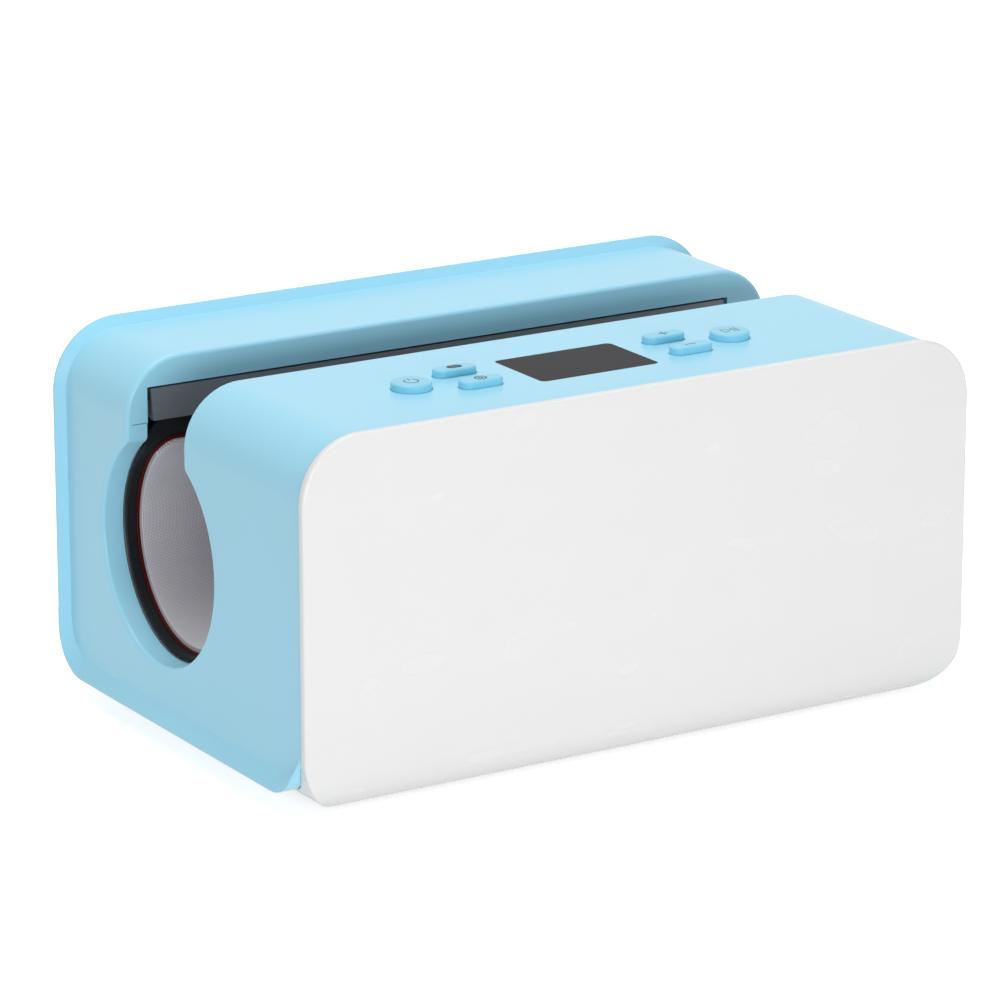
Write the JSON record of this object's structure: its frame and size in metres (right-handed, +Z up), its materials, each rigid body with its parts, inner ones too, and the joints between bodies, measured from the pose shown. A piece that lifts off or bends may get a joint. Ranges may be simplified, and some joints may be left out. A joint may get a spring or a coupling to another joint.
{
  "type": "tumbler heat press",
  "caption": "Benchtop heat press for tumblers: a light blue and white housing with a round tunnel open along the top, a wrap-round heating mat, clamp bars, and buttons round a display.",
  "frame": {"origin": "on the floor, under the middle of the housing's outer box", "axes": "+X along the tunnel, away from the end nearest the camera, +Y towards the rear cover, +Z up; the white front faces -Y"},
  "size_m": [0.3266, 0.205, 0.1618],
  "materials": {
    "blue_plastic": "light blue satin moulded ABS",
    "blue_button_plastic": "light blue moulded ABS, slightly deeper than the housing",
    "white_plastic": "white satin moulded ABS",
    "grey_rubber": "soft moulded rubber",
    "black_silicone": "matt black silicone sheet",
    "red_silicone": "dark red silicone sheet",
    "grey_heat_cloth": "fine woven heater cloth, silicone coated",
    "dark_grey_aluminium": "dark grey anodised, fine brushed",
    "dark_display": "dark tinted display window",
    "module_black": "matt black display carrier",
    "sheet_steel": "zinc plated pressed sheet",
    "screw_steel": "zinc plated screws, turned rods",
    "nut_bronze": "turned bronze nut tube",
    "bushing_plastic": "off-white low friction plastic",
    "motor_steel": "plated motor can and gearbox",
    "insulation_wool": "off-white ceramic fibre blanket",
    "cradle_plastic": "dark heat resistant moulded plastic",
    "cutout_white": "off-white ceramic body",
    "board_green": "green lacquered circuit board",
    "switch_black": "black moulded tact switches",
    "transformer_yellow": "yellow taped winding and ferrite",
    "relay_blue": "blue moulded relay case",
    "capacitor_black": "black sleeved capacitor cans",
    "standoff_nylon": "natural nylon",
    "inlet_black": "black moulded inlet",
    "pin_brass": "nickel plated brass pins"
  },
  "bodies": {
    "housing": {"upper_shell": "blue_plastic", "rear_cover": "blue_plastic", "mouth_sleeves": "blue_plastic", "front_cover": "white_plastic", "base_tray": "white_plastic", "feet": "grey_rubber", "base_screws": "screw_steel", "rear_cover_screws": "screw_steel", "chassis_screws": "screw_steel", "control_board_screws": "screw_steel", "mat_backing": "black_silicone", "mat_edge_layer": "red_silicone", "mat_pad": "grey_heat_cloth", "guide_bushings": "bushing_plastic", "rear_gearmotor": "motor_steel", "front_gearmotor": "motor_steel", "rear_drive_bracket": "sheet_steel", "front_drive_bracket": "sheet_steel", "heat_shield": "sheet_steel", "insulation": "insulation_wool", "thermal_cutout": "cutout_white", "cradles": "cradle_plastic", "chassis_plate": "sheet_steel", "display_window": "dark_display", "display_module": "module_black", "control_board": "board_green", "tact_switches": "switch_black", "power_board": "board_green", "board_standoffs": "standoff_nylon", "transformer": "transformer_yellow", "relay": "relay_blue", "capacitors": "capacitor_black", "power_inlet": "inlet_black", "inlet_pins": "pin_brass"},
    "rear_bar": {"rear_clamp_bar": "dark_grey_aluminium", "rear_guide_rods": "screw_steel", "rear_drive_nut": "nut_bronze"},
    "front_bar": {"front_clamp_bar": "dark_grey_aluminium", "front_guide_rods": "screw_steel", "front_drive_nut": "nut_bronze"},
    "rear_screw": {"rear_drive_screw": "screw_steel"},
    "front_screw": {"front_drive_screw": "screw_steel"},
    "power_button_cap": {"power_button": "blue_button_plastic"},
    "preset_button_cap": {"preset_button": "blue_button_plastic"},
    "settings_button_cap": {"settings_button": "blue_button_plastic"},
    "plus_button_cap": {"plus_button": "blue_button_plastic"},
    "minus_button_cap": {"minus_button": "blue_button_plastic"},
    "start_button_cap": {"start_button": "blue_button_plastic"}
  },
  "joints": [
    {"name": "front_bar_slide", "type": "slide", "parent": "housing", "child": "front_bar", "axis": [0, 1, 0], "range_m": [0, 0.014], "deforming": ["mat_backing", "mat_edge_layer", "mat_pad"]},
    {"name": "rear_bar_slide", "type": "slide", "parent": "housing", "child": "rear_bar", "axis": [0, -1, 0], "range_m": [0, 0.014], "deforming": ["mat_backing", "mat_edge_layer", "mat_pad"]},
    {"name": "front_screw_spin", "type": "hinge", "parent": "housing", "child": "front_screw", "pos_m": [-0.00525, -0.03, 0.13775], "axis": [0, 1, 0], "range_deg": [-5, 640]},
    {"name": "rear_screw_spin", "type": "hinge", "parent": "housing", "child": "rear_screw", "pos_m": [-0.00525, 0.07, 0.13775], "axis": [0, -1, 0], "range_deg": [-5, 640]},
    {"name": "power_button_press", "type": "slide", "parent": "housing", "child": "power_button_cap", "axis": [0, 0, -1], "range_m": [0, 0.001], "stiffness_N_per_m": 300, "springref_m": -0.0004},
    {"name": "preset_button_press", "type": "slide", "parent": "housing", "child": "preset_button_cap", "axis": [0, 0, -1], "range_m": [0, 0.001], "stiffness_N_per_m": 300, "springref_m": -0.0004},
    {"name": "settings_button_press", "type": "slide", "parent": "housing", "child": "settings_button_cap", "axis": [0, 0, -1], "range_m": [0, 0.001], "stiffness_N_per_m": 300, "springref_m": -0.0004},
    {"name": "plus_button_press", "type": "slide", "parent": "housing", "child": "plus_button_cap", "axis": [0, 0, -1], "range_m": [0, 0.001], "stiffness_N_per_m": 300, "springref_m": -0.0004},
    {"name": "minus_button_press", "type": "slide", "parent": "housing", "child": "minus_button_cap", "axis": [0, 0, -1], "range_m": [0, 0.001], "stiffness_N_per_m": 300, "springref_m": -0.0004},
    {"name": "start_button_press", "type": "slide", "parent": "housing", "child": "start_button_cap", "axis": [0, 0, -1], "range_m": [0, 0.001], "stiffness_N_per_m": 300, "springref_m": -0.0004}
  ],
  "couplings": [
    {"joint": "rear_bar_slide", "follows": "front_bar_slide", "ratio": 1},
    {"joint": "front_screw_spin", "follows": "front_bar_slide", "rad_per_m": 785.4},
    {"joint": "rear_screw_spin", "follows": "front_bar_slide", "rad_per_m": 785.4}
  ]
}
